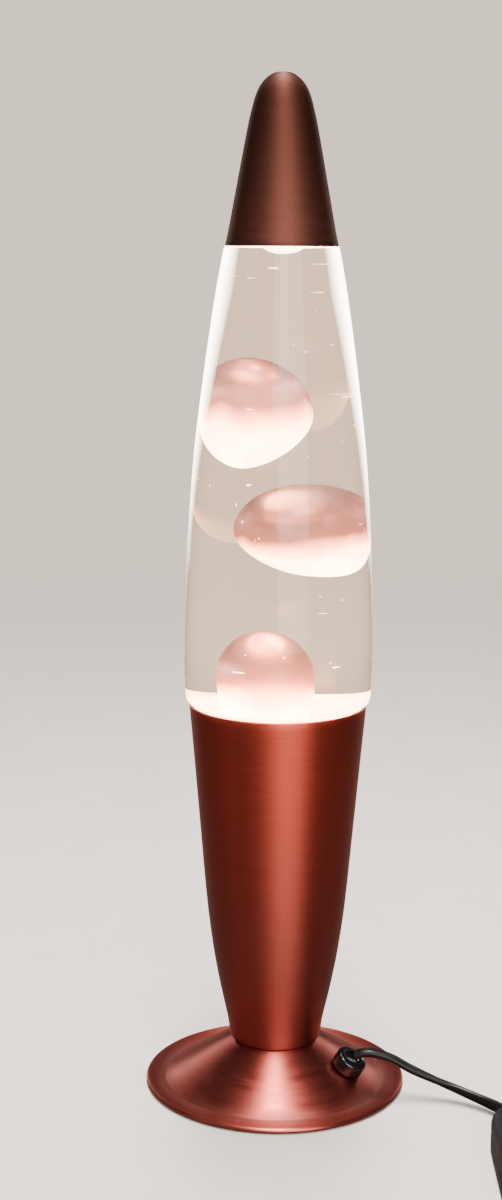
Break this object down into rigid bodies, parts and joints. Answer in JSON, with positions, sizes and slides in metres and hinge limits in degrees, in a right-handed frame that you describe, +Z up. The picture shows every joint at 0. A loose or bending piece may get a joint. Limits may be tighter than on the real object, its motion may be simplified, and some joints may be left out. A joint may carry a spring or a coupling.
{
  "type": "lava lamp",
  "caption": "Conical-footed wax motion lamp: a tapered glass bottle of wax between a flared metal base and a pointed metal cap, with a bulb below and a corded in-line switch.",
  "frame": {"origin": "on the lamp's upright axis, on the surface that it stands on", "axes": "+Z up along the lamp's axis, +X towards the side that the cord leaves, -Y towards the viewer"},
  "size_m": [0.2461, 0.2047, 0.42],
  "materials": {
    "copper_anodised": "satin, spun and anodised copper red, fine brushing around the axis",
    "clear_glass": "clear, smooth, faint warm tint",
    "wax": "pearly rose wax, lit from below, brighter towards its underside",
    "black_plastic": "moulded black plastic, low gloss with soft edges",
    "cord_rubber": "black flexible flat twin cord, satin",
    "bakelite": "dark brown moulded resin, glossy",
    "brass": "rolled brass, lightly tarnished",
    "zinc_plate": "zinc-plated steel",
    "ballast_iron": "rough grey casting",
    "felt": "pressed felt",
    "steel_wire": "drawn wire",
    "tinplate": "tin-plated sheet",
    "lead_brown": "single-core insulation, brown",
    "lead_blue": "single-core insulation, blue",
    "nickel_plate": "nickel-plated pins"
  },
  "bodies": {
    "base": {"foot_shell": "copper_anodised", "base_body": "copper_anodised", "strain_relief_bushing": "black_plastic", "switch_housing_bottom": "black_plastic", "switch_housing_top": "black_plastic", "plug_body": "black_plastic", "plug_strain_relief": "black_plastic", "cord_tie": "black_plastic", "cord_lamp_side": "cord_rubber", "cord_plug_side": "cord_rubber", "cord_tail": "cord_rubber", "cord_coil": "cord_rubber", "inner_cord": "cord_rubber", "holder_cap": "bakelite", "holder_body": "bakelite", "holder_screw_shell": "brass", "holder_centre_contact": "brass", "holder_terminal_screw_1": "brass", "holder_terminal_screw_2": "brass", "switch_contact_1": "brass", "switch_contact_2": "brass", "threaded_nipple": "zinc_plate", "nipple_nut_lower": "zinc_plate", "nipple_nut_upper": "zinc_plate", "nipple_washer_lower": "zinc_plate", "nipple_washer_upper": "zinc_plate", "cover_screw_1": "zinc_plate", "cover_screw_2": "zinc_plate", "cover_screw_3": "zinc_plate", "base_cover": "zinc_plate", "switch_screw_1": "zinc_plate", "switch_screw_2": "zinc_plate", "ballast_ring": "ballast_iron", "felt_ring": "felt", "lead_brown": "lead_brown", "lead_blue": "lead_blue", "plug_pin_1": "nickel_plate", "plug_pin_2": "nickel_plate"},
    "bottle": {"bottle": "clear_glass", "bottle_crown": "tinplate", "crown_liner": "cord_rubber", "wire_coil": "steel_wire", "wax_pool": "wax"},
    "cap": {"cap": "copper_anodised"},
    "bulb_tip": {"bulb_contact_tip": "brass"},
    "bulb": {"bulb_glass": "clear_glass", "bulb_screw_shell": "brass", "bulb_insulator": "black_plastic", "bulb_stem": "clear_glass", "bulb_filament": "steel_wire"},
    "rocker": {"switch_rocker": "black_plastic"},
    "wax_upper": {"wax_blob_upper": "wax"},
    "wax_middle": {"wax_blob_middle": "wax"},
    "wax_top": {"wax_blob_top": "wax"}
  },
  "joints": [
    {"name": "bottle_lift", "type": "slide", "parent": "base", "child": "bottle", "axis": [0, 0, 1], "range_m": [0, 0.065]},
    {"name": "cap_lift", "type": "slide", "parent": "bottle", "child": "cap", "axis": [0, 0, 1], "range_m": [0, 0.045]},
    {"name": "bulb_rise", "type": "slide", "parent": "base", "child": "bulb_tip", "axis": [0, 0, 1], "range_m": [0, 0.0085]},
    {"name": "bulb_turn", "type": "hinge", "parent": "bulb_tip", "child": "bulb", "pos_m": [0, 0, 0.05], "axis": [0, 0, 1], "range_deg": [0, 1080]},
    {"name": "rocker_tilt", "type": "hinge", "parent": "base", "child": "rocker", "pos_m": [0.099, -0.09, 0.0146], "axis": [1, 0, 0], "range_deg": [-14, 0]},
    {"name": "wax_upper_drift", "type": "slide", "parent": "bottle", "child": "wax_upper", "axis": [0.24, 0, 0.9708], "range_m": [-0.002, 0.02]},
    {"name": "wax_middle_drift", "type": "slide", "parent": "bottle", "child": "wax_middle", "axis": [0, 0, 1], "range_m": [-0.016, 0.002]},
    {"name": "wax_top_drift", "type": "slide", "parent": "bottle", "child": "wax_top", "axis": [0, 0, 1], "range_m": [-0.012, 0.004]}
  ],
  "couplings": [
    {"joint": "bulb_rise", "follows": "bulb_turn", "m_per_rad": 0.000449}
  ]
}
